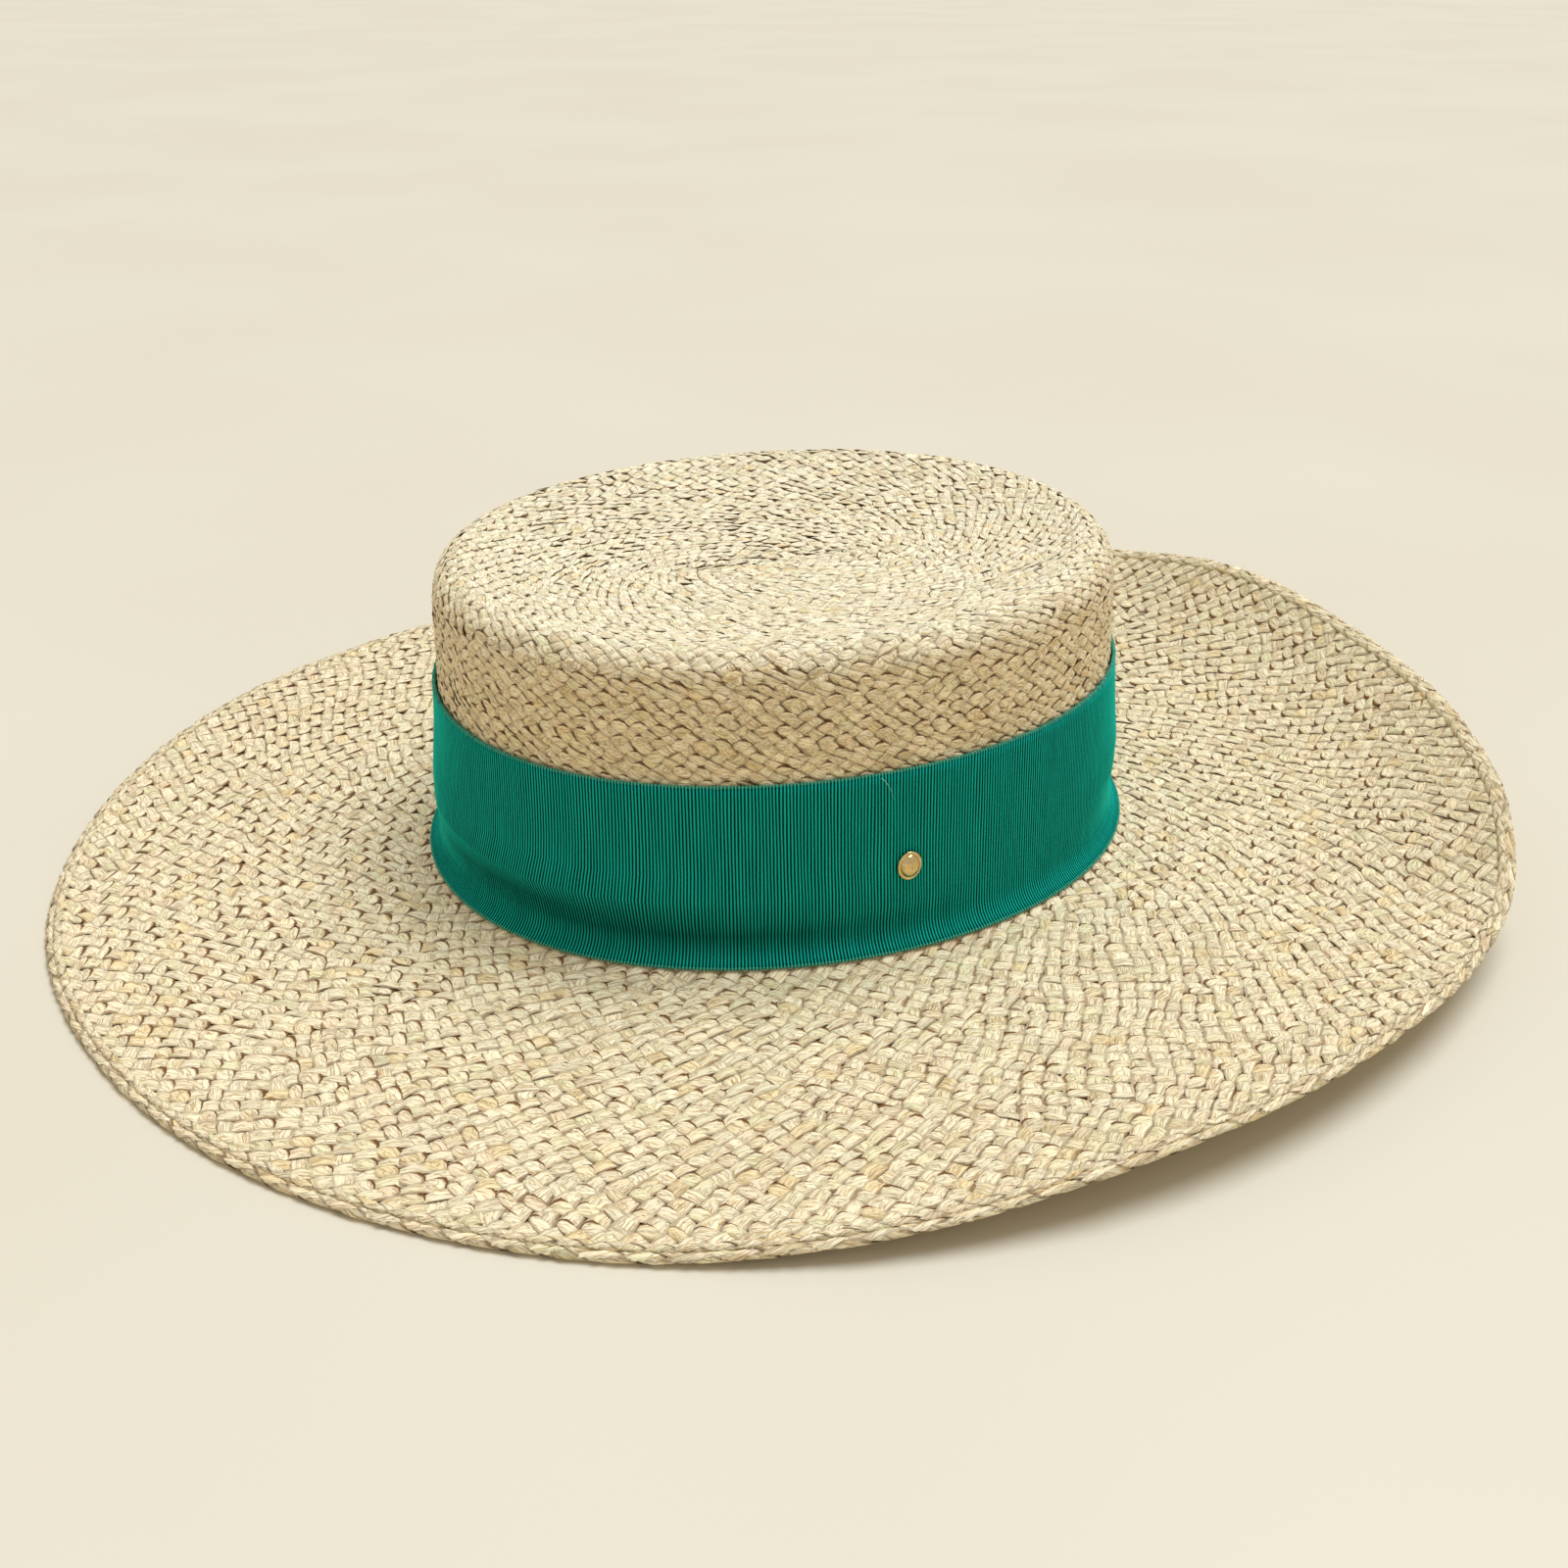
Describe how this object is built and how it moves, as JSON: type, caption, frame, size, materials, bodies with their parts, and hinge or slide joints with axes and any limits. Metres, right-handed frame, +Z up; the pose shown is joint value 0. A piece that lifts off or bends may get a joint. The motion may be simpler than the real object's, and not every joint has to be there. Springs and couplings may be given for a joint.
{
  "type": "wide-brim sun hat",
  "caption": "Straw sun hat with a flat oval crown, a wide brim turned up along one side, a folded brim edge, a ribbed ribbon band and a small oval stud",
  "frame": {"origin": "on the plane that the hat rests on, under the middle of its box", "axes": "+Z up out of the crown's top, +X along the long axis of the head oval towards the turned-up side of the brim, -Y towards the side with the stud"},
  "size_m": [0.4114, 0.38, 0.0935],
  "materials": {
    "crown_straw": "plaited natural straw, matt with a faint silky sheen",
    "brim_straw": "plaited natural straw, matt with a faint silky sheen",
    "edge_straw": "folded and stitched straw braid",
    "ribbon": "ribbed grosgrain ribbon with a soft sheen",
    "stud_metal": "polished pale gold metal"
  },
  "bodies": {
    "root": {"crown": "crown_straw", "brim": "brim_straw", "brim_edge": "edge_straw", "band": "ribbon", "stud": "stud_metal"}
  },
  "joints": []
}
